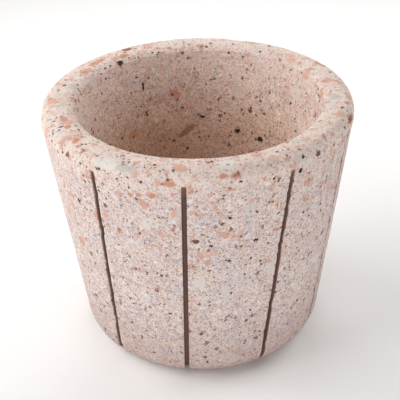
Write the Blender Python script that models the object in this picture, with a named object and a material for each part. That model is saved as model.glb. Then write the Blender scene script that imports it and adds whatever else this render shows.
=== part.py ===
"""Molcajete: a Mexican stone mortar, turned and sawn from one block of volcanic tuff.

Run it with: blender --background --python part.py

Metres, +Z up. The origin is the centre of the face that it stands on, and -Y is its front.
The mortar has no separate pieces: wall, rim, cavity, foot and saw-cut grooves are one stone.
"""

from math import acos, atan2, cos, pi, radians, sin, sqrt, tan

import bmesh
import bpy
from mathutils import Matrix, Vector

# Outside, as a turned cone. Each radius is where the wall line meets that plane, before rounding.
HEIGHT = 0.166
RIM_RADIUS = 0.100
FOOT_RADIUS = 0.079
SHOULDER_ROUND = 0.008
FOOT_ROUND = 0.0175

# Cavity, as a tapered mouth that runs into a round grinding bowl. The rim rolls over towards it and
# stops at a crisp edge, the lip: its width is measured from the rim's wall line to that edge.
RIM_WIDTH = 0.0221
LIP_ROUND = 0.011
LIP_DROP = 0.0036
CAVITY_DRAFT_DEG = 9.0
FLOOR_THICKNESS = 0.048
BOWL_ROUND = 0.066

# Grooves, cut down the outside with a disc saw.
GROOVE_COUNT = 10
GROOVE_WIDTH = 0.0029
GROOVE_DEPTH = 0.0035
GROOVE_TOP_GAP = 0.0075
GROOVE_END_ROUND_FOOT_DEG = 72.0
SAW_RADIUS = 0.0575
FIRST_GROOVE_DEG = -6.6
# By hand: how far each groove is from its even place, going round from the first, and how it leans.
MARKING_SLIPS_DEG = (0.0, 1.2, -0.4, 0.9, -1.2, 0.4, -0.8, 1.1, -0.5, 1.8)
LEANS_DEG = (2.0, 2.8, 2.4, 2.9, 2.2, 2.7, 2.5, 2.1, 2.9, 3.4)

# Fineness of the solid, how near two points are one, and how far a cutter passes outside the stone.
SEGMENTS_ROUND = 90
ARC_STEP_DEG = 9.0
MERGE_DISTANCE = 0.000001
CUTTER_OVERSHOOT = 0.004
# The least round that a groove's floor keeps at the foot, as a share of the foot's own round.
LEAST_FLOOR_ROUND = 0.1

STONE_COLOUR = (0.62, 0.47, 0.41, 1.0)
STONE_ROUGHNESS = 0.9
SHARP_EDGE_DEG = 25.0


def clear_scene():
    """Removes whatever the file opened with."""
    for thing in list(bpy.data.objects):
        bpy.data.objects.remove(thing)


def arc(centre, radius, start, end):
    """Points on a circle in the profile plane, from angle start to angle end, both included."""
    steps = max(2, round(abs(end - start) / radians(ARC_STEP_DEG)))
    angles = [start + (end - start) * i / steps for i in range(steps + 1)]
    return [centre + Vector((cos(a), sin(a))) * radius for a in angles]


def half_angle(before, corner, after):
    """Half of the angle between the two edges that meet at a corner."""
    return (before - corner).angle(after - corner) / 2


def fitted_rounds(corners, wanted):
    """The corner radii that fit: two rounds that share an edge never take more than its length."""
    inner = range(1, len(corners) - 1)
    halves = {i: half_angle(*corners[i - 1 : i + 2]) for i in inner}
    reach = {i: wanted[i] / tan(halves[i]) for i in inner}
    reach[0] = reach[len(corners) - 1] = 0.0
    share = {i: 1.0 for i in reach}
    for i in range(len(corners) - 1):
        room = (corners[i + 1] - corners[i]).length / (reach[i] + reach[i + 1])
        share[i] = min(share[i], room)
        share[i + 1] = min(share[i + 1], room)
    return {i: wanted[i] * share[i] for i in inner}


def round_centre(before, corner, after, radius):
    """The centre of a round that touches both edges at a corner."""
    half = half_angle(before, corner, after)
    towards = ((before - corner).normalized() + (after - corner).normalized()).normalized()
    return corner + towards * (radius / sin(half))


def rounded_corner(before, corner, after, radius):
    """Points of the round at a corner, from the edge it comes from to the edge it leaves by."""
    centre = round_centre(before, corner, after, radius)
    reach = radius / tan(half_angle(before, corner, after))
    first = corner + (before - corner).normalized() * reach - centre
    last = corner + (after - corner).normalized() * reach - centre
    start = atan2(first.y, first.x)
    turn = (atan2(last.y, last.x) - start + pi) % (2 * pi) - pi
    return arc(centre, radius, start, start + turn)


def profile_corners():
    """Sharp corners of half the section, as (radius, height): outside, from the base's centre to where
    the rim starts to roll over, and inside, from the lip to the bowl's centre."""
    lip = Vector((RIM_RADIUS - RIM_WIDTH, HEIGHT - LIP_DROP))
    roll = sqrt(2 * LIP_ROUND * LIP_DROP - LIP_DROP**2)
    bowl_radius = lip.x - (lip.y - FLOOR_THICKNESS) * tan(radians(CAVITY_DRAFT_DEG))
    outside = [
        Vector((0, 0)),
        Vector((FOOT_RADIUS, 0)),
        Vector((RIM_RADIUS, HEIGHT)),
        Vector((lip.x + roll, HEIGHT)),
    ]
    inside = [lip, Vector((bowl_radius, FLOOR_THICKNESS)), Vector((0, FLOOR_THICKNESS))]
    return outside, inside


def rolled_rim(start, lip):
    """Points of the rim's roll, from its flat top down to just before the lip."""
    centre = start - Vector((0, LIP_ROUND))
    edge = lip - centre
    return arc(centre, LIP_ROUND, pi / 2, atan2(edge.y, edge.x))[:-1]


def turned_stone(outside, foot_and_shoulder, inside):
    """The block as it leaves the lathe: the rounded section spun once about the Z axis."""
    points = [outside[0]]
    for i, radius in foot_and_shoulder.items():
        points += rounded_corner(*outside[i - 1 : i + 2], radius)
    points += rolled_rim(outside[-1], inside[0])
    points += [inside[0]]
    points += rounded_corner(*inside, fitted_rounds(inside, {1: BOWL_ROUND})[1])
    points.append(inside[-1])
    shape = bmesh.new()
    chain = [shape.verts.new((p.x, 0, p.y)) for p in points]
    edges = [shape.edges.new(pair) for pair in zip(chain, chain[1:])]
    bmesh.ops.spin(
        shape, geom=chain + edges, cent=(0, 0, 0), axis=(0, 0, 1), angle=2 * pi, steps=SEGMENTS_ROUND
    )
    bmesh.ops.remove_doubles(shape, verts=shape.verts, dist=MERGE_DISTANCE)
    bmesh.ops.dissolve_degenerate(shape, edges=shape.edges, dist=MERGE_DISTANCE)
    bmesh.ops.recalc_face_normals(shape, faces=shape.faces)
    return shape


def groove_outline(corners, rounds):
    """Side view of one saw cut, as (radius, height): run-in, floor along the wall, run-out round the foot."""
    foot, rim = corners[1], corners[2]
    up = (rim - foot).normalized()
    out = Vector((up.y, -up.x))
    wall_slope = atan2(out.y, out.x)

    # Top: the disc's own edge, from outside the wall to the groove's full depth.
    entry = rim - up * (GROOVE_TOP_GAP / up.y)
    run = sqrt(2 * SAW_RADIUS * GROOVE_DEPTH - GROOVE_DEPTH**2)
    saw_centre = entry - up * run + out * (SAW_RADIUS - GROOVE_DEPTH)
    clear_of_wall = acos((SAW_RADIUS - GROOVE_DEPTH - CUTTER_OVERSHOOT) / SAW_RADIUS)
    run_in = arc(saw_centre, SAW_RADIUS, wall_slope + pi - clear_of_wall, wall_slope + pi)

    # Bottom: round the foot at the same depth, then straight on until the saw leaves the stone.
    foot_round = rounds[1]
    inner_round = max(foot_round - GROOVE_DEPTH, foot_round * LEAST_FLOOR_ROUND)
    foot_centre = round_centre(corners[0], foot, rim, foot_round)
    turned = radians(GROOVE_END_ROUND_FOOT_DEG) - acos(inner_round / foot_round)
    round_foot = arc(foot_centre, inner_round, wall_slope, wall_slope - turned)
    leave = wall_slope - turned
    away = Vector((sin(leave), -cos(leave)))
    exit_length = sqrt(foot_round**2 - inner_round**2) + CUTTER_OVERSHOOT
    below = round_foot[-1] + away * exit_length

    # Back up to the start outside the stone, farther out below, where the plate leans outwards.
    outside = out * (GROOVE_DEPTH + 2 * CUTTER_OVERSHOOT)
    return run_in + round_foot + [below, below + outside * 2, run_in[0] + outside]


def groove_cutter(corners, rounds, azimuth, lean_angle):
    """The plate of stone that one pass of the saw takes out, at an azimuth from the front (-Y)."""
    outline = groove_outline(corners, rounds)
    shape = bmesh.new()
    near = [shape.verts.new((p.x, -GROOVE_WIDTH / 2, p.y)) for p in outline]
    side = shape.faces.new(near)
    made = bmesh.ops.extrude_face_region(shape, geom=[side])["geom"]
    far = [v for v in made if isinstance(v, bmesh.types.BMVert)]
    bmesh.ops.translate(shape, verts=far, vec=(0, GROOVE_WIDTH, 0))
    bmesh.ops.recalc_face_normals(shape, faces=shape.faces)
    middle = Vector((0, 0, HEIGHT / 2))
    lean = Matrix.Rotation(-lean_angle, 4, "X")
    turn = Matrix.Rotation(azimuth - pi / 2, 4, "Z")
    place = turn @ Matrix.Translation(middle) @ lean @ Matrix.Translation(-middle)
    bmesh.ops.transform(shape, matrix=place, verts=shape.verts)
    return shape


def groove_places():
    """Azimuth from the front towards +X, and lean, of each groove in radians. The hand-made slips and
    leans are used again from the first if there are more grooves than values."""
    places = []
    for i in range(GROOVE_COUNT):
        slip = MARKING_SLIPS_DEG[i % len(MARKING_SLIPS_DEG)]
        azimuth = FIRST_GROOVE_DEG + i * 360 / GROOVE_COUNT + slip
        places.append((radians(azimuth), radians(LEANS_DEG[i % len(LEANS_DEG)])))
    return places


def add_object(name, shape):
    """Links a bmesh into the scene as a named object."""
    mesh = bpy.data.meshes.new(name)
    shape.to_mesh(mesh)
    shape.free()
    thing = bpy.data.objects.new(name, mesh)
    bpy.context.scene.collection.objects.link(thing)
    return thing


def cut(target, name, shape):
    """Takes a hidden cutter out of the target."""
    cutter = add_object(name, shape)
    cutter.hide_render = True
    cutter.display_type = "WIRE"
    boolean = target.modifiers.new(name, "BOOLEAN")
    boolean.operation = "DIFFERENCE"
    boolean.solver = "EXACT"
    boolean.object = cutter


def tuff():
    """Pale pink volcanic tuff, ground matt."""
    material = bpy.data.materials.new("tuff")
    material.use_nodes = True
    shader = material.node_tree.nodes["Principled BSDF"]
    shader.inputs["Base Color"].default_value = STONE_COLOUR
    shader.inputs["Roughness"].default_value = STONE_ROUGHNESS
    shader.inputs["Metallic"].default_value = 0.0
    return material


def main():
    clear_scene()
    outside, inside = profile_corners()
    foot_and_shoulder = fitted_rounds(outside, {1: FOOT_ROUND, 2: SHOULDER_ROUND})
    mortar = add_object("mortar", turned_stone(outside, foot_and_shoulder, inside))
    mortar.data.materials.append(tuff())
    mortar.data.shade_smooth()
    mortar.data.set_sharp_from_angle(angle=radians(SHARP_EDGE_DEG))
    for i, (azimuth, lean) in enumerate(groove_places()):
        shape = groove_cutter(outside, foot_and_shoulder, azimuth, lean)
        cut(mortar, f"groove_cutter_{i + 1:02d}", shape)


main()
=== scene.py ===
# %% [markdown]
# # A molcajete, turned and sawn from one stone
#
# A molcajete is the mortar that salsas and spices are ground in. This one is cantera, a soft pink
# volcanic tuff. The block is turned to a tapered cup on a lathe, hollowed, and rubbed down by hand,
# and then a disc saw cuts ten upright grooves down its outside.
#
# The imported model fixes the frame: where the stone is, and how large. Everything below is worked
# out from the frame's box and from a few sizes of the stone, so we load the frame first.

from math import cos, pi, radians, sin, sqrt, tan

import bpy
import numpy as np
from mathutils import Matrix, Vector


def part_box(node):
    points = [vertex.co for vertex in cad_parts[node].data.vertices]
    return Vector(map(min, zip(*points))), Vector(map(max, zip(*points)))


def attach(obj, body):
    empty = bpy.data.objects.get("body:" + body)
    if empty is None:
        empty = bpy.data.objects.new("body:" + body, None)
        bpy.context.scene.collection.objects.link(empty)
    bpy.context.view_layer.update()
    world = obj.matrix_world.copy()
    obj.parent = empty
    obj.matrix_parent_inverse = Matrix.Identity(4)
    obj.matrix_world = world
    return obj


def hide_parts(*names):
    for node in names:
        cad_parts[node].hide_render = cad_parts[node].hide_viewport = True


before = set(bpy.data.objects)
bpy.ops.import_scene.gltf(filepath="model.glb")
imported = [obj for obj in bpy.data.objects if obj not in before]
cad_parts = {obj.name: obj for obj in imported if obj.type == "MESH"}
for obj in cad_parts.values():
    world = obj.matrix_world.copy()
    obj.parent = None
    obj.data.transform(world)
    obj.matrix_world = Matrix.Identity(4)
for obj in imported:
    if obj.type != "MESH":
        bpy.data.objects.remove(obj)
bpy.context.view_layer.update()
MM = 0.001
stone_low, stone_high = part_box("mortar")
HEIGHT = stone_high.z - stone_low.z
print(f"the stone is {(stone_high.x - stone_low.x) / MM:.1f} mm across and {HEIGHT / MM:.1f} mm high")

# %% [markdown]
# ## The section that the lathe turns
#
# The stone is a surface of revolution, so its shape is one outline carried round the axis. The
# outline has straight runs that meet in rounded corners: the flat base, the foot, the sloping wall,
# the shoulder, the rim, its roll inwards, the crisp lip, the sloping cavity wall and the bowl. Each
# run is sampled by itself, so that every corner starts on a row of its own, and the rows can be close
# together where the shape bends and far apart under the base, where nobody looks.

# %% Sizes of the section
RIM_RADIUS = 100 * MM
FOOT_RADIUS = 79 * MM
RIM_WIDTH = 22.1 * MM
LIP_DROP = 3.6 * MM
FLOOR_THICKNESS = 48 * MM
CAVITY_DRAFT = radians(9)
FOOT_ROUND, SHOULDER_ROUND, RIM_ROLL, BOWL_ROUND = 17.5 * MM, 8 * MM, 11 * MM, 66 * MM

LIP = np.array([RIM_RADIUS - RIM_WIDTH, HEIGHT - LIP_DROP])
ROLL_START = LIP + (sqrt(2 * RIM_ROLL * LIP_DROP - LIP_DROP**2), LIP_DROP)
BOWL_CORNER = (LIP[0] - (LIP[1] - FLOOR_THICKNESS) * tan(CAVITY_DRAFT), FLOOR_THICKNESS)
OUTSIDE = np.array([(0, 0), (FOOT_RADIUS, 0), (RIM_RADIUS, HEIGHT), ROLL_START])
INSIDE = np.array([LIP, BOWL_CORNER, (0, FLOOR_THICKNESS)])
RUN_NAMES = ("base", "foot", "wall", "shoulder", "rim", "roll", "cavity", "bowl", "floor")


# %% Sample the section
def corner_round(before, corner, after, radius):
    """Centre of the circle that touches both straight runs, and where it leaves each of them."""
    back = (before - corner) / np.linalg.norm(before - corner)
    on = (after - corner) / np.linalg.norm(after - corner)
    half = np.arccos(back @ on) / 2
    middle = (back + on) / np.linalg.norm(back + on)
    reach = radius / np.tan(half)
    return corner + middle * radius / np.sin(half), corner + back * reach, corner + on * reach


def straight(start, end, steps, crowd=1.0):
    """Steps from start towards end, leaving the end out; a crowd over 1 packs them near the start."""
    return start + (end - start) * ((np.arange(steps) / steps) ** crowd)[:, None]


def arc(centre, start, end, steps):
    """Even steps round a circle from start towards end, the short way, leaving the end out."""
    first = np.arctan2(*(start - centre)[::-1])
    turn = (np.arctan2(*(end - centre)[::-1]) - first + pi) % (2 * pi) - pi
    angles = first + turn * np.arange(steps) / steps
    return centre + np.stack([np.cos(angles), np.sin(angles)], 1) * np.linalg.norm(start - centre)


def section_rows():
    """(radius, height) of every row of the surface, and the number of the run that each row is on."""
    foot, foot_start, foot_end = corner_round(*OUTSIDE[:3], FOOT_ROUND)
    shoulder, shoulder_start, shoulder_end = corner_round(*OUTSIDE[1:], SHOULDER_ROUND)
    bowl, bowl_start, bowl_end = corner_round(*INSIDE, BOWL_ROUND)
    runs = [
        straight(OUTSIDE[0], foot_start, 9),
        arc(foot, foot_start, foot_end, 14),
        straight(foot_end, shoulder_start, 72),
        arc(shoulder, shoulder_start, shoulder_end, 11),
        straight(shoulder_end, ROLL_START, 5),
        arc(ROLL_START - (0, RIM_ROLL), ROLL_START, LIP, 12),
        straight(LIP, bowl_start, 45, crowd=1.2),
        arc(bowl, bowl_start, bowl_end, 30),
        np.linspace(bowl_end, INSIDE[-1], 3),
    ]
    return np.concatenate(runs), np.repeat(np.arange(len(runs)), [len(run) for run in runs])


section, run_of_row = section_rows()
along = np.gradient(section, axis=0)
along /= np.linalg.norm(along, axis=1)[:, None]
outward = np.stack([along[:, 1], -along[:, 0]], 1)
travel = np.concatenate([[0], np.cumsum(np.linalg.norm(np.diff(section, axis=0), axis=1))])
print(f"{len(section)} rows along {travel[-1] / MM:.0f} mm of outline")

# %% [markdown]
# ## Where the saw went
#
# The ten grooves are single passes of a stone-cutting disc, so each is as wide as the disc is thick.
# They were marked out by eye: none is exactly upright, and their spacing wanders by a degree or two.
# A groove this narrow needs edges that stay crisp. The columns of the grid therefore lean with the
# grooves, and each groove gets a bundle of columns that sit at its edges, walls and floor, measured
# in millimetres from its centre line. The columns between two bundles share out what is left.

# %% Sizes of the grooves
KERF = 2.9 * MM
GROOVE_DEPTH = 3.5 * MM
GROOVE_TOP_GAP = 7.5 * MM
SAW_RADIUS = 57.5 * MM
SAW_LEAVES_FOOT = radians(72)
GROOVES = 10
FIRST_GROOVE = radians(-6.6)
MARKING_SLIPS = np.radians([0.0, 1.2, -0.4, 0.9, -1.2, 0.4, -0.8, 1.1, -0.5, 1.8])
LEANS = np.radians([2.0, 2.8, 2.4, 2.9, 2.2, 2.7, 2.5, 2.1, 2.9, 3.4])
# Tangential places of a bundle's columns, as shares of half the kerf, and how deep each one lies.
BUNDLE_PLACES = np.array([1.9, 1.35, 1.1, 1.0, 0.93, 0.8, 0.4])
BUNDLE_DEPTHS = np.array([0.0, 0.0, 0.04, 0.22, 0.86, 0.98, 1.0])
BETWEEN = 34

places = np.concatenate([-BUNDLE_PLACES, [0], BUNDLE_PLACES[::-1]]) * KERF / 2
depths = np.concatenate([BUNDLE_DEPTHS, [1], BUNDLE_DEPTHS[::-1]])
groove_middles = FIRST_GROOVE + np.arange(GROOVES) * 2 * pi / GROOVES + MARKING_SLIPS


# %% Angle of every column on every row
def column_angles():
    """Azimuth of each grid point from the front (-Y) towards +X, as rows by columns.

    A groove's centre line is at its middle azimuth plus the lean times the height over the radius.
    Its bundle is spread about that line by place / radius; the other columns are a straight blend
    between the edge of one bundle and the edge of the next. Inside the cavity and under the base
    the radius is held, so the columns run straight on to the poles."""
    outside = (run_of_row >= 1) & (run_of_row <= 3)
    radius = np.interp(np.arange(len(section)), np.flatnonzero(outside), section[outside, 0])
    height = np.interp(np.arange(len(section)), np.flatnonzero(outside), section[outside, 1])
    rise = (height - HEIGHT / 2)[:, None]
    lines = groove_middles + np.tan(LEANS) * rise / radius[:, None]
    lines = np.concatenate([lines, lines[:, :1] + 2 * pi], 1)
    half = (places[-1] / radius)[:, None]
    share = np.arange(1, BETWEEN + 1) / (BETWEEN + 1)
    blocks = []
    for g in range(GROOVES):
        blocks.append(lines[:, g : g + 1] + places / radius[:, None])
        gap_start, gap_end = lines[:, g : g + 1] + half, lines[:, g + 1 : g + 2] - half
        blocks.append(gap_start + (gap_end - gap_start) * share)
    return np.concatenate(blocks, 1)


angles = column_angles()
print(f"{angles.shape[1]} columns, {len(places)} of them to each groove")


# %% Depth of the cuts
def groove_floor_depth():
    """Depth of the saw along each row: a circle's edge at the top, level down the wall, and at the
    foot a straight tangent that leaves the rounded corner."""
    wall_foot, wall_top = OUTSIDE[1], OUTSIDE[2]
    up = (wall_top - wall_foot) / np.linalg.norm(wall_top - wall_foot)
    run = np.sqrt(2 * SAW_RADIUS * GROOVE_DEPTH - GROOVE_DEPTH**2)
    below_entry = (wall_top - section) @ up - GROOVE_TOP_GAP / up[1]
    edge = np.sqrt(SAW_RADIUS**2 - np.clip(run - below_entry, 0, run) ** 2)
    depth = np.where(below_entry > 0, edge - (SAW_RADIUS - GROOVE_DEPTH), 0)
    centre, _, leave = corner_round(*OUTSIDE[:3], FOOT_ROUND)
    inner = FOOT_ROUND - GROOVE_DEPTH
    wall_slope = np.arctan2(*(leave - centre)[::-1])
    turned = wall_slope - np.arctan2(section[:, 1] - centre[1], section[:, 0] - centre[0])
    straight_from = SAW_LEAVES_FOOT - np.arccos(inner / FOOT_ROUND)
    bend = np.clip(turned - straight_from, 0, np.arccos(inner / FOOT_ROUND))
    on_foot = run_of_row == 1
    depth = np.where(on_foot, FOOT_ROUND - inner / np.cos(bend), depth)
    return np.where(run_of_row == 0, 0, np.where(run_of_row > 2, 0, depth))


saw_depth = groove_floor_depth()
across = np.tile(np.concatenate([depths, np.zeros(BETWEEN)]), GROOVES)
cut = saw_depth[:, None] * across[None, :]
print(f"the grooves are {cut.max() / MM:.1f} mm deep, over {np.ptp(travel[saw_depth > 0]) / MM:.0f} mm")

# %% [markdown]
# ## The worked surface
#
# A turned and hand-rubbed stone isn't smooth. These marks are made in the mesh, because they change
# the outline and catch the light: the long soft waves of hand rubbing, the rings that the turning
# tool leaves in the cavity, hollows where grains were plucked out or an edge was knocked, and one
# straight furrow where a chisel slipped. Each is a distance along the surface's normal, worked out
# for all points at once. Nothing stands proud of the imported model, so every distance is inwards.


# %% Repeatable noise
def random_at(cells, seed):
    """A number from 0 to 1 for each lattice place: its coordinates times large odd numbers, added
    up and stirred with shifts, so that the same place and seed always give the same number."""
    mixed = (cells.astype(np.int64) * (73856093, 19349663, 83492791)).sum(-1) + seed * 668265263
    mixed = mixed.astype(np.uint32)
    for shift, factor in ((15, 0x2C1B3C6D), (12, 0x297A2D39)):
        mixed = (mixed ^ (mixed >> np.uint32(shift))) * np.uint32(factor)
    return (mixed ^ (mixed >> np.uint32(15))) / 2.0**32


def lattice_corners(reach):
    """Every whole-number offset within a range along each axis."""
    return np.stack(np.meshgrid(reach, reach, reach, indexing="ij"), -1).reshape(-1, 3)


def soft_noise(points, grain, seed):
    """Smooth noise from -1 to 1: random values at lattice places one grain apart, each weighted by
    the smooth step 3t^2 - 2t^3 of how near it is along each axis."""
    scaled = points / grain
    corner = np.floor(scaled)
    part = scaled - corner
    part = part * part * (3 - 2 * part)
    total = np.zeros(points.shape[:-1])
    for offset in lattice_corners((0, 1)):
        weight = np.where(offset == 1, part, 1 - part).prod(-1)
        total += weight * random_at(corner + offset, seed)
    return total * 2 - 1


def hollows(points, spacing, radius, share, seed):
    """How far down each point is in a scatter of round hollows, from 0 at a rim to 1 at a bottom.

    A share of the cells of a lattice hold one hollow each, at a random place, with a random radius
    up to the largest; its depth falls off as one minus the squared distance over the radius."""
    home = np.floor(points / spacing)
    deepest = np.zeros(points.shape[:-1])
    for offset in lattice_corners((-1, 0, 1)):
        cell = home + offset
        jitter = np.stack([random_at(cell, seed + k) for k in range(3)], -1)
        size = radius * (0.45 + 0.55 * random_at(cell, seed + 3))
        away = np.linalg.norm(points - (cell + jitter) * spacing, axis=-1) / size
        present = random_at(cell, seed + 4) < share
        deepest = np.maximum(deepest, np.where(present, 1 - away**2, 0))
    return deepest


def step(low, high, value):
    """Smooth step: 0 below low, 1 above high, 3t^2 - 2t^3 between them."""
    t = np.clip((value - low) / (high - low), 0, 1)
    return t * t * (3 - 2 * t)


# %% Points and normals of the smooth stone
CAVITY_OFF_CENTRE = 1.2 * MM


def spun(radius_and_height):
    """Carries (radius, height) rows round the axis: x = r sin(azimuth), y = -r cos(azimuth)."""
    radius, level = radius_and_height[:, :1], radius_and_height[:, 1:]
    return np.stack([radius * np.sin(angles), -radius * np.cos(angles), level + 0 * angles], -1)


on_run = {name: (run_of_row == i)[:, None] for i, name in enumerate(RUN_NAMES)}
inside = (run_of_row > 4)[:, None]
hollow = (run_of_row > 5)[:, None]
smooth, normal = spun(section), spun(outward)
smooth[..., 0] += CAVITY_OFF_CENTRE * inside
azimuth = np.degrees(np.arctan2(smooth[..., 0], -smooth[..., 1]))
height = smooth[..., 2]
print(f"{smooth.shape[0] * smooth.shape[1]} grid points")


# %% Relief of the worked surface
def rubbed_waves():
    """Long and short soft waves of hand rubbing. The base is ground flatter than the rest."""
    waves = 0.24 * soft_noise(smooth, 34 * MM, 11) + 0.12 * soft_noise(smooth, 11 * MM, 12)
    waves = waves + 0.06 * soft_noise(smooth, 3.6 * MM, 13)
    return np.where(on_run["base"], 0.25, 1.0) * (waves - 0.3) * MM


def turning_rings():
    """Rings of the turning tool in the cavity: a sine of the height, its phase and strength wandering."""
    wander = 2.2 * soft_noise(smooth, 40 * MM, 21)
    strength = 0.10 + 0.06 * soft_noise(smooth, 22 * MM, 22)
    return np.where(hollow, strength * (np.sin(2 * pi * height / (5.2 * MM) + wander) - 1) * MM, 0)


def plucked_grains():
    """Hollows left by grains that came away: few and wide on the outside, closer in the cavity."""
    wide = hollows(smooth, 13 * MM, 2.4 * MM, 0.30, 31) * 0.9
    small = hollows(smooth, 6.5 * MM, 1.5 * MM, 0.35, 41) * 0.6
    return -np.maximum(wide, small) * MM


def chisel_slip():
    """One straight furrow across the back of the cavity, climbing towards +X: a bell curve of the
    distance from its line, on the unrolled wall, that fades out at both ends."""
    from_back = np.radians(azimuth % 360 - 180) * 70 * MM
    line = 101.5 * MM + (14.7 * MM - from_back) * tan(radians(31))
    away = (height - line) * cos(radians(31))
    within = step(-30 * MM, -20 * MM, from_back) * (1 - step(12 * MM, 18 * MM, from_back))
    return np.where(hollow, -1.0 * MM * within * np.exp(-((away / (1.5 * MM)) ** 2)), 0)


def knocked_edges():
    """Shallow flakes off the shoulder and the roll, where a coarse noise passes a threshold."""
    edge = on_run["shoulder"] | on_run["roll"]
    flake = step(0.35, 0.75, soft_noise(smooth, 9 * MM, 51) + 0.35 * soft_noise(smooth, 3 * MM, 52))
    return np.where(edge, -0.5 * flake * MM, 0)


def ragged_kerf():
    """Crumbs lost along both edges of each groove, and a slightly uneven floor."""
    beside = np.tile(np.concatenate([np.where(depths < 0.9, 1.0, 0.0), np.zeros(BETWEEN)]), GROOVES)
    beside = beside * (np.abs(np.tile(np.concatenate([places, np.full(BETWEEN, 1.0)]), GROOVES)) < KERF)
    lost = step(0.15, 0.8, soft_noise(smooth, 2.6 * MM, 61) + 0.5 * soft_noise(smooth, 7 * MM, 62))
    sawn = (saw_depth > 0.3 * MM)[:, None]
    floor = 0.25 * soft_noise(smooth, 5 * MM, 63) * np.where(cut > 0.6 * GROOVE_DEPTH, 1, 0)
    return (np.where(sawn, -0.75 * beside * lost, 0) + floor) * MM


marks = turning_rings() + plucked_grains() + chisel_slip() + knocked_edges()
relief = np.minimum(rubbed_waves() + marks, 0)
surface = smooth + normal * (relief + ragged_kerf() - cut)[..., None]
print(f"relief from {relief.min() / MM:.2f} to {relief.max() / MM:.2f} mm")


# %% Put the surface into a mesh
SHARP_EDGE = radians(52)


def closed_mesh(name, grid):
    """A closed skin over a grid of rows by columns: the columns join up, and the first and last rows
    shrink to one point each, the poles, with a fan of triangles."""
    count, wide = grid.shape[0] - 2, grid.shape[1]
    points = np.concatenate([grid[0].mean(0)[None], grid[1:-1].reshape(-1, 3), grid[-1].mean(0)[None]])
    here = 1 + np.arange(count * wide).reshape(count, wide)
    next_column = np.roll(here, -1, axis=1)
    quads = np.stack([here[:-1], next_column[:-1], next_column[1:], here[1:]], -1).reshape(-1, 4)
    base_fan = np.stack([np.zeros(wide, int), next_column[0], here[0]], -1)
    bowl_fan = np.stack([np.full(wide, len(points) - 1), here[-1], next_column[-1]], -1)
    mesh = bpy.data.meshes.new(name)
    mesh.from_pydata(points.tolist(), [], quads.tolist() + base_fan.tolist() + bowl_fan.tolist())
    mesh.validate()
    mesh.shade_smooth()
    mesh.set_sharp_from_angle(angle=SHARP_EDGE)
    return mesh


def store(mesh, name, values):
    """Keeps one number per grid point as an attribute that the material can read."""
    kept = np.concatenate([[values[0].mean()], values[1:-1].ravel(), [values[-1].mean()]])
    mesh.attributes.new(name, "FLOAT", "POINT").data.foreach_set("value", kept.astype(np.float32))


stone_mesh = closed_mesh("carved_stone", surface)
store(stone_mesh, "saw_cut", cut / GROOVE_DEPTH)
store(stone_mesh, "hollowed", hollow * np.clip((HEIGHT - height) / (60 * MM), 0, 1))
carved_stone = bpy.data.objects.new("carved_stone", stone_mesh)
bpy.context.scene.collection.objects.link(carved_stone)
print(f"{len(stone_mesh.loop_triangles) or sum(len(p.vertices) - 2 for p in stone_mesh.polygons)} triangles")

# %% [markdown]
# ## Cantera tuff, ground matt
#
# Tuff is volcanic ash that set hard round whatever fell into it: salmon and brown bits of older
# rock, pale pumice, and small dark grains. Turning cuts straight through them, so they lie flush in
# the surface, and the same stone shows inside and out. That asks for a solid pattern: every layer
# reads Object coordinates, as if the colour filled the whole block and the tool had revealed it.
#
# The eye gets a chalky pale pink ground with a fine salt-and-pepper grain, scattered bits of older
# rock, more of them towards the rim, and no gloss at all. Each kind of chip is one Voronoi pattern
# whose spacing is the real distance between chips. A cell holds a chip only if its random number
# passes, and the coordinates are moved about by noise first, so that no outline is a neat circle.
# Then come the larger bits that make this block itself, each one listed with its place.


# %% Helpers for the material
def linear(code):
    """An sRGB hex colour as linear red, green, blue and alpha."""
    parts = np.array([int(code[i : i + 2], 16) for i in (1, 3, 5)]) / 255
    bright = np.where(parts <= 0.04045, parts / 12.92, ((parts + 0.055) / 1.055) ** 2.4)
    return (*bright.tolist(), 1.0)


def add(tree, kind, inputs=None, **settings):
    """Adds one node. Inputs are values or other nodes' outputs, by socket name or number."""
    node = tree.nodes.new(kind)
    for name, value in settings.items():
        setattr(node, name, value)
    for socket, value in (inputs or {}).items():
        if isinstance(value, bpy.types.NodeSocket):
            tree.links.new(value, node.inputs[socket])
        else:
            node.inputs[socket].default_value = value
    return node


def blend_in(tree, below, above, amount):
    """Lays one colour over another by an amount from 0 to 1."""
    mixed = add(tree, "ShaderNodeMix", {0: amount, 6: below, 7: above}, data_type="RGBA")
    return mixed.outputs[2]


def ruffled(tree, place, grain, reach):
    """The place moved by up to half a reach each way, by noise of that grain."""
    noise = add(tree, "ShaderNodeTexNoise", {"Vector": place, "Scale": 1 / grain, "Detail": 2.0})
    noise = noise.outputs["Color"]
    aside = add(tree, "ShaderNodeVectorMath", {0: noise, 1: (0.5,) * 3}, operation="SUBTRACT")
    moved = add(tree, "ShaderNodeVectorMath", {0: aside.outputs[0], "Scale": reach}, operation="SCALE")
    return add(tree, "ShaderNodeVectorMath", {0: place, 1: moved.outputs[0]}, operation="ADD").outputs[0]


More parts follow.
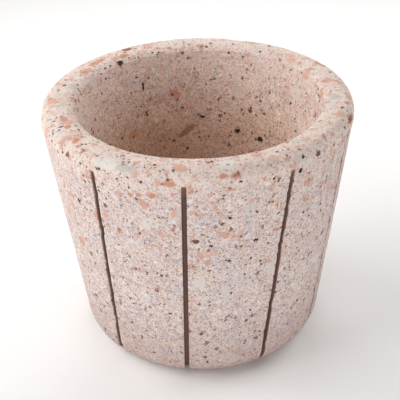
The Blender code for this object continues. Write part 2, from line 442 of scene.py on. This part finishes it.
# %% What fell into the ash
# Sizes in mm: the spacing of the cells, the largest radius and how soft the outline is. The warp is
# how far noise pulls the outline about. A rising kind is commoner towards the top of the block, and
# a kind with a pit lies a little under the surface. The finest grains are drawn about twice as large
# as they are, so that they can be seen at all.
CHIPS = (
    dict(name="rust grains", spacing=2.2, radius=0.85, share=0.3, soft=0.5, warp=2.0, faint=0.2,
         colours=("#C5A59B", "#AE8A7E")),
    dict(name="pale crumbs", spacing=3.6, radius=1.4, share=0.36, soft=0.6, warp=3.0, faint=0.2,
         colours=("#EFE9E2", "#D9D6D6")),
    dict(name="salmon chips", spacing=4.6, radius=1.9, share=0.40, soft=1.0, warp=4.0, faint=0.15,
         colours=("#DDB09B", "#CF9A85"), rising=True),
    dict(name="large salmon chips", spacing=9.5, radius=3.9, share=0.42, soft=1.6, warp=9.0, faint=0.2,
         colours=("#DDB19E", "#CC9580"), rising=True),
    dict(name="grey pumice", spacing=14.0, radius=5.5, share=0.3, soft=2.5, warp=14.0, faint=0.1,
         colours=("#E3DAD3", "#D2C8C2")),
    dict(name="brown chips", spacing=8.5, radius=1.7, share=0.34, soft=0.5, warp=4.0, faint=0.35,
         colours=("#97776A", "#6F554A")),
    dict(name="dark dust", spacing=1.9, radius=0.5, share=0.4, soft=0.3, warp=1.8, faint=0.3,
         colours=("#71553F", "#452D20")),
    dict(name="dark grains", spacing=3.1, radius=0.95, share=0.42, soft=0.3, warp=3.4, faint=0.45,
         colours=("#5A3F2F", "#2E1E15"), pit=True),
    dict(name="large dark grains", spacing=8.0, radius=1.5, share=0.36, soft=0.35, warp=5.5, faint=0.7,
         colours=("#4E3628", "#281A12"), pit=True),
)


def chip_mask(tree, place, chips, shift, rising):
    """How strongly one kind of chip shows, from 0 to 1, and a random number for each chip.

    Each cell's chip shows where the distance to its middle is under its own random radius, if its
    random number is under the share. Its strength is random too, down to the faint limit."""
    spacing, soft = chips["spacing"], chips["soft"] / chips["spacing"] / 2
    aside = tuple(shift * part for part in (0.37, 0.11, 0.23))
    moved = add(tree, "ShaderNodeVectorMath", {0: place, 1: aside}, operation="ADD").outputs[0]
    moved = ruffled(tree, moved, chips["radius"] * MM, chips["warp"] * MM)
    cells = add(tree, "ShaderNodeTexVoronoi", {"Vector": moved, "Scale": 1 / (spacing * MM)})
    pick = add(tree, "ShaderNodeSeparateColor", {0: cells.outputs["Color"]})
    largest = chips["radius"] / spacing
    size = add(tree, "ShaderNodeMapRange", {0: pick.outputs[1], 3: 0.4 * largest, 4: largest}).outputs[0]
    past = add(tree, "ShaderNodeMath", {0: size, 1: cells.outputs["Distance"]}, operation="SUBTRACT")
    shows = add(
        tree, "ShaderNodeMapRange", {0: past.outputs[0], 1: -soft, 2: soft}, interpolation_type="SMOOTHSTEP"
    )
    share = chips["share"]
    if chips.get("rising"):
        share = add(tree, "ShaderNodeMath", {0: rising, 1: share}, operation="MULTIPLY").outputs[0]
    held = add(tree, "ShaderNodeMath", {0: pick.outputs[0], 1: share}, operation="LESS_THAN").outputs[0]
    strength = add(tree, "ShaderNodeMapRange", {0: pick.outputs[1], 3: chips["faint"], 4: 1.0}).outputs[0]
    held = add(tree, "ShaderNodeMath", {0: held, 1: strength}, operation="MULTIPLY").outputs[0]
    mask = add(tree, "ShaderNodeMath", {0: shows.outputs[0], 1: held}, operation="MULTIPLY").outputs[0]
    return mask, pick.outputs[2]


# %% The bits that make this stone itself
# Each one: its colour, azimuth in degrees from the front towards +X, height and radius from the axis
# in mm, and its half-length round the stone, half-height and half-thickness in mm. The last one, a
# painted shadow beside the chisel's slip, also has a tilt in degrees.
TONES = dict(salmon="#CF967F", pale_salmon="#DBAF9C", rust="#9E6552", brown="#7A5B4E", black="#3A2D29",
             pumice="#E3DCD3", grey="#CDC4BC", ochre="#CFA78C", painted_furrow_shadow="#AF8F79")
NOTABLE = (
    ("black", -139, 164, 78, 2.8, 2.6, 2.6),
    ("salmon", -143, 166, 83, 4.0, 2.0, 2.4),
    ("salmon", -130, 166, 87, 9.0, 2.0, 2.2),
    ("salmon", -118, 166, 84, 3.2, 2.0, 2.6),
    ("grey", -103, 166, 82, 4.0, 2.0, 4.5),
    ("salmon", -63, 166, 87, 2.2, 2.0, 2.4),
    ("salmon", -51, 166, 91, 2.4, 2.0, 2.4),
    ("rust", -44, 166, 95, 3.2, 1.4, 1.4),
    ("rust", -50, 160, 99, 1.4, 2.0, 3.0),
    ("pumice", -33, 164, 98, 9.0, 3.6, 5.5),
    ("grey", -25, 163, 98, 7.0, 2.0, 5.0),
    ("salmon", -39, 156, 99, 1.5, 1.7, 1.5),
    ("brown", -10, 165, 99, 2.8, 1.2, 2.0),
    ("pale_salmon", -6, 166, 94, 4.4, 2.0, 3.0),
    ("salmon", -10, 158, 99, 4.4, 2.0, 3.0),
    ("salmon", -24, 147, 98, 1.7, 1.7, 3.0),
    ("salmon", -20.5, 148, 98, 1.8, 2.0, 3.0),
    ("salmon", -16, 149, 98, 3.0, 2.2, 2.5),
    ("salmon", -31, 117, 94, 1.8, 1.6, 3.0),
    ("pale_salmon", -9, 137, 96, 1.8, 2.4, 3.0),
    ("salmon", 8, 162, 99, 3.2, 1.6, 3.0),
    ("rust", 12.5, 163, 99.5, 1.9, 2.2, 3.0),
    ("pale_salmon", 16, 166, 96, 3.2, 2.0, 2.6),
    ("salmon", 50, 166, 96, 2.8, 2.0, 2.8),
    ("pale_salmon", 69, 166, 92, 4.5, 2.0, 3.0),
    ("rust", 71, 162, 99, 8.0, 2.8, 2.5),
    ("salmon", 117, 166, 93, 6.0, 2.0, 2.4),
    ("black", 37, 162, 99.5, 1.8, 1.5, 3.0),
    ("black", 36, 154, 98.5, 1.9, 1.7, 3.0),
    ("brown", 44, 160, 99, 2.2, 1.8, 3.0),
    ("brown", -2, 117, 94, 1.9, 1.5, 3.0),
    ("black", 3.5, 113.5, 93.5, 1.4, 1.1, 3.0),
    ("brown", 7.5, 129, 95.5, 1.2, 1.1, 3.0),
    ("brown", -35, 134, 96, 1.4, 1.3, 3.0),
    ("black", -150, 143, 74, 1.1, 3.4, 3.0),
    ("black", 156, 106, 69, 2.3, 2.0, 3.0),
    ("black", 141, 103.5, 69, 2.5, 2.3, 3.5),
    ("brown", 149, 122, 72.5, 1.8, 1.4, 3.0),
    ("black", 177, 114.5, 70.5, 2.0, 1.2, 3.0),
    ("brown", 95, 145, 76.5, 1.5, 1.5, 3.0),
    ("ochre", -159, 103.5, 67, 2.4, 2.0, 3.0),
    ("ochre", 143, 111, 69, 7.0, 1.0, 3.0),
    ("black", -85, 161.5, 77.5, 2.4, 0.9, 1.6),
    ("grey", -84, 166, 84, 3.6, 2.0, 2.8),
    ("salmon", -70, 166, 86, 3.4, 2.0, 2.4),
    ("salmon", 178, 166, 81, 5.5, 2.0, 2.2),
    ("salmon", -167, 166, 80, 3.2, 2.0, 2.4),
    ("rust", -148, 166, 90, 4.0, 2.0, 2.2),
    ("grey", 84, 166, 85, 5.0, 2.0, 4.0),
    # A painted shadow along the chisel's furrow, tilted with it.
    ("painted_furrow_shadow", -174, 105, 68.5, 9.5, 2.0, 3.0, 31),
)


def notable_mask(tree, place, azimuth, level, radius, along, up, deep, tilt=0):
    """A lens-shaped bit set in the stone: 1 inside, 0 outside, with a narrow soft outline.

    The place is measured from its middle, turned to its azimuth and tilt and divided by its
    half-sizes, so the outline is where the length of that is 1."""
    turn = radians(azimuth)
    middle = Vector((radius * sin(turn), -radius * cos(turn), level)) * MM
    half_sizes = Vector((along, deep, up)) * MM
    local = add(
        tree, "ShaderNodeMapping",
        {"Vector": place, "Location": middle, "Rotation": (0, radians(tilt), turn), "Scale": half_sizes},
        vector_type="TEXTURE",
    )
    away = add(tree, "ShaderNodeVectorMath", {0: local.outputs[0]}, operation="LENGTH").outputs["Value"]
    return add(tree, "ShaderNodeMapRange", {0: away, 1: 0.8, 2: 1.15, 3: 1.0, 4: 0.0}).outputs[0]


# %% The ground and the marks of work
def ash_ground(tree, place):
    """The chalky ground: cream, pink and lilac-grey clouds, with salt-and-pepper grain of three sizes."""
    clouds = add(tree, "ShaderNodeTexNoise", {"Vector": place, "Scale": 1 / (17 * MM), "Detail": 3.0})
    share = add(tree, "ShaderNodeMapRange", {0: clouds.outputs[0], 1: 0.35, 2: 0.65}).outputs[0]
    ground = blend_in(tree, linear("#DCC4BD"), linear("#E6D4CA"), share)
    other = add(tree, "ShaderNodeVectorMath", {0: place, 1: (0.5, 0.3, 0.7)}, operation="ADD").outputs[0]
    cool = add(tree, "ShaderNodeTexNoise", {"Vector": other, "Scale": 1 / (9 * MM), "Detail": 2.0})
    amount = add(tree, "ShaderNodeMapRange", {0: cool.outputs[0], 1: 0.45, 2: 0.7, 4: 0.8}).outputs[0]
    ground = blend_in(tree, ground, linear("#D6C8CD"), amount)
    for grain, dusky, chalky in ((4.2, 0.3, 0.2), (1.9, 0.35, 0.25), (0.95, 0.7, 0.45)):
        tone = add(tree, "ShaderNodeTexNoise", {"Vector": place, "Scale": 1 / (grain * MM), "Detail": 1.0})
        dusk = add(tree, "ShaderNodeMapRange", {0: tone.outputs[0], 1: 0.30, 2: 0.49, 3: dusky, 4: 0.0})
        ground = blend_in(tree, ground, linear("#A58B84"), dusk.outputs[0])
        light = add(tree, "ShaderNodeMapRange", {0: tone.outputs[0], 1: 0.51, 2: 0.70, 4: chalky})
        ground = blend_in(tree, ground, linear("#F3EAE3"), light.outputs[0])
    return ground


def painted_shade_and_darker_foot(tree, place, level, colour):
    """Painted shade: dark brown down the saw cuts and browner deeper in the cavity. Also darker towards the
    foot.
    """
    hollowed = add(tree, "ShaderNodeAttribute", attribute_name="hollowed").outputs["Fac"]
    # Painted shade and warm bounce light in the cavity: browner the deeper it goes, over 60 mm.
    painted_cavity_shade = add(tree, "ShaderNodeMix", {0: hollowed, 6: colour, 7: linear("#FFF2E2")}, data_type="RGBA")
    painted_cavity_shade.blend_type = "MULTIPLY"
    # Darker towards the foot, fading out 60 mm above the base.
    foot = add(tree, "ShaderNodeMapRange", {0: level, 1: 0.0, 2: 60 * MM, 3: 0.45, 4: 0.0}).outputs[0]
    colour = blend_in(tree, painted_cavity_shade.outputs[2], linear("#9A7A72"), foot)
    # Painted shade down the saw cuts: dark brown where the saw went.
    cut_share = add(tree, "ShaderNodeAttribute", attribute_name="saw_cut").outputs["Fac"]
    painted_groove_shade = add(tree, "ShaderNodeMapRange", {0: cut_share, 1: 0.01, 2: 0.3, 4: 0.94}).outputs[0]
    return blend_in(tree, colour, linear("#7C5B4D"), painted_groove_shade)


def stone_bump(tree, place, pits):
    """Height in metres of what is too fine for the mesh: the grain, pits at dark grains, tool lines."""
    grain = add(tree, "ShaderNodeTexNoise", {"Vector": place, "Scale": 1 / (0.9 * MM), "Detail": 3.0})
    rise = add(tree, "ShaderNodeMath", {0: grain.outputs[0], 1: 0.25 * MM}, operation="MULTIPLY").outputs[0]
    rise = add(tree, "ShaderNodeMath", {0: pits, 1: -0.3 * MM, 2: rise}, operation="MULTIPLY_ADD").outputs[0]
    stretched = add(tree, "ShaderNodeMapping", {"Vector": place, "Scale": (0.05, 0.05, 1.0)}).outputs[0]
    lines = add(tree, "ShaderNodeTexNoise", {"Vector": stretched, "Scale": 1 / (1.5 * MM), "Detail": 1.0})
    hollowed = add(tree, "ShaderNodeAttribute", attribute_name="hollowed").outputs["Fac"]
    depth = add(tree, "ShaderNodeMath", {0: hollowed, 1: 0.8 * MM}, operation="MULTIPLY").outputs[0]
    rise = add(tree, "ShaderNodeMath", {0: lines.outputs[0], 1: depth, 2: rise}, operation="MULTIPLY_ADD")
    bump = add(tree, "ShaderNodeBump", {"Height": rise.outputs[0], "Distance": 1.0, "Strength": 1.0})
    return bump.outputs[0]


# %% The stone's material
def cantera_ground_matt():
    """Pink volcanic tuff, turned and rubbed down: rough, without gloss."""
    material = bpy.data.materials.new("cantera_tuff_ground_matt")
    material.use_nodes = True
    tree = material.node_tree
    shader = tree.nodes["Principled BSDF"]
    shader.inputs["Roughness"].default_value = 0.9
    shader.inputs["IOR"].default_value = 1.5
    shader.inputs["Specular IOR Level"].default_value = 0.25
    place = add(tree, "ShaderNodeTexCoord").outputs["Object"]
    level = add(tree, "ShaderNodeSeparateXYZ", {0: place}).outputs[2]
    rising = add(tree, "ShaderNodeMapRange", {0: level, 1: HEIGHT / 2, 2: HEIGHT, 3: 0.12, 4: 2}).outputs[0]
    hollowed = add(tree, "ShaderNodeAttribute", attribute_name="hollowed").outputs["Fac"]
    kept = add(tree, "ShaderNodeMapRange", {0: hollowed, 1: 0.03, 2: 0.2, 3: 1.0, 4: 0.35}).outputs[0]
    rising = add(tree, "ShaderNodeMath", {0: rising, 1: kept}, operation="MULTIPLY").outputs[0]
    # Paler over the top 22 mm of the stone.
    paler_top = add(tree, "ShaderNodeMapRange", {0: level, 1: HEIGHT - 22 * MM, 2: HEIGHT, 4: 0.42}).outputs[0]
    colour, pits = blend_in(tree, ash_ground(tree, place), linear("#F5DECF"), paler_top), 0.0
    for i, chips in enumerate(CHIPS):
        mask, pick = chip_mask(tree, place, chips, i + 1, rising)
        chip_colour = blend_in(tree, linear(chips["colours"][0]), linear(chips["colours"][1]), pick)
        colour = blend_in(tree, colour, chip_colour, mask)
        if chips.get("pit"):
            pits = add(tree, "ShaderNodeMath", {0: pits, 1: mask}, operation="MAXIMUM").outputs[0]
    ragged = ruffled(tree, place, 1.6 * MM, 4 * MM)
    for tone, *place_and_sizes in NOTABLE:
        colour = blend_in(tree, colour, linear(TONES[tone]), notable_mask(tree, ragged, *place_and_sizes))
    colour = painted_shade_and_darker_foot(tree, place, level, colour)
    tree.links.new(colour, shader.inputs["Base Color"])
    tree.links.new(stone_bump(tree, place, pits), shader.inputs["Normal"])
    return material


cantera = cantera_ground_matt()
stone_mesh.materials.append(cantera)
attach(carved_stone, "root")
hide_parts("mortar")
print(f"{len(CHIPS)} kinds of chip in the tuff, {len(cantera.node_tree.nodes)} nodes")

# %% [markdown]
# ## Floor, light and camera
#
# The stone stands on a plain pale floor. Most light comes from large soft lamps at the left, behind
# and at the right, so the wall is brightest at its left and the cavity stays in soft shade. Two weak
# low lamps in front open up the grooves, and a white surround fills what is left.


# %% Floor
def pale_floor():
    """A wide square, matt and nearly white."""
    half = 4.0
    mesh = bpy.data.meshes.new("floor")
    corners = [(-half, -half, 0), (half, -half, 0), (half, half, 0), (-half, half, 0)]
    mesh.from_pydata(corners, [], [(0, 1, 2, 3)])
    floor = bpy.data.objects.new("floor", mesh)
    bpy.context.scene.collection.objects.link(floor)
    paint = bpy.data.materials.new("matt_white_paper")
    paint.use_nodes = True
    paint.node_tree.nodes["Principled BSDF"].inputs["Base Color"].default_value = linear("#FAF9F8")
    paint.node_tree.nodes["Principled BSDF"].inputs["Roughness"].default_value = 1.0
    mesh.materials.append(paint)
    return floor


pale_floor()


# %% Light
# Each softbox: its name, azimuth from the front towards +X and height, both in degrees, and watts.
SOFTBOX_DISTANCE = 0.9
SOFTBOX_SIZE = 0.6
SURROUND_STRENGTH = 0.13
SOFTBOXES = (
    ("left_softbox", -75, 35, 4.1),
    ("left_back_softbox", -110, 35, 3.4),
    ("back_softbox", 180, 35, 2.4),
    ("right_back_softbox", 120, 35, 3.6),
    ("low_front_softbox", -5, 10, 1.9),
    ("low_right_softbox", 30, 10, 1.75),
)


def soft_lamp(name, azimuth, elevation, power):
    """A square lamp that faces the middle of the stone, from that azimuth round from the front."""
    lamp = bpy.data.lights.new(name, "AREA")
    lamp.shape, lamp.size, lamp.energy = "SQUARE", SOFTBOX_SIZE, power
    holder = bpy.data.objects.new(name, lamp)
    towards = Vector((sin(azimuth) * cos(elevation), -cos(azimuth) * cos(elevation), sin(elevation)))
    holder.location = Vector((0, 0, HEIGHT / 2)) + towards * SOFTBOX_DISTANCE
    holder.rotation_mode = "QUATERNION"
    holder.rotation_quaternion = towards.to_track_quat("Z", "Y")
    bpy.context.scene.collection.objects.link(holder)


for name, azimuth_deg, elevation_deg, power in SOFTBOXES:
    soft_lamp(name, radians(azimuth_deg), radians(elevation_deg), power)
world = bpy.data.worlds.new("white_surround")
world.use_nodes = True
world.node_tree.nodes["Background"].inputs["Color"].default_value = linear("#FFFFFF")
world.node_tree.nodes["Background"].inputs["Strength"].default_value = SURROUND_STRENGTH
bpy.context.scene.world = world
bpy.context.scene.view_settings.view_transform = "Standard"
print(f"{len(SOFTBOXES)} softboxes, {sum(row[-1] for row in SOFTBOXES):.1f} W together")

# %% Camera
CAMERA_ELEVATION = radians(31.87)
CAMERA_DISTANCE = 0.655
CAMERA_ROLL = radians(1.74)
AIM_ABOVE_MIDDLE = 4.65 * MM

camera_data = bpy.data.cameras.new("camera")
camera_data.sensor_width, camera_data.lens = 36.0, 87.4
camera = bpy.data.objects.new("camera", camera_data)
middle = Vector((0, 0, HEIGHT / 2))
camera.location = middle + CAMERA_DISTANCE * Vector((0, -cos(CAMERA_ELEVATION), sin(CAMERA_ELEVATION)))
looking = (middle + Vector((0, 0, AIM_ABOVE_MIDDLE)) - camera.location).to_track_quat("-Z", "Y")
camera.rotation_mode = "QUATERNION"
camera.rotation_quaternion = looking @ Matrix.Rotation(-CAMERA_ROLL, 3, "Z").to_quaternion()
bpy.context.scene.collection.objects.link(camera)
bpy.context.scene.camera = camera
print(f"the camera stands {CAMERA_DISTANCE:.2f} m away")
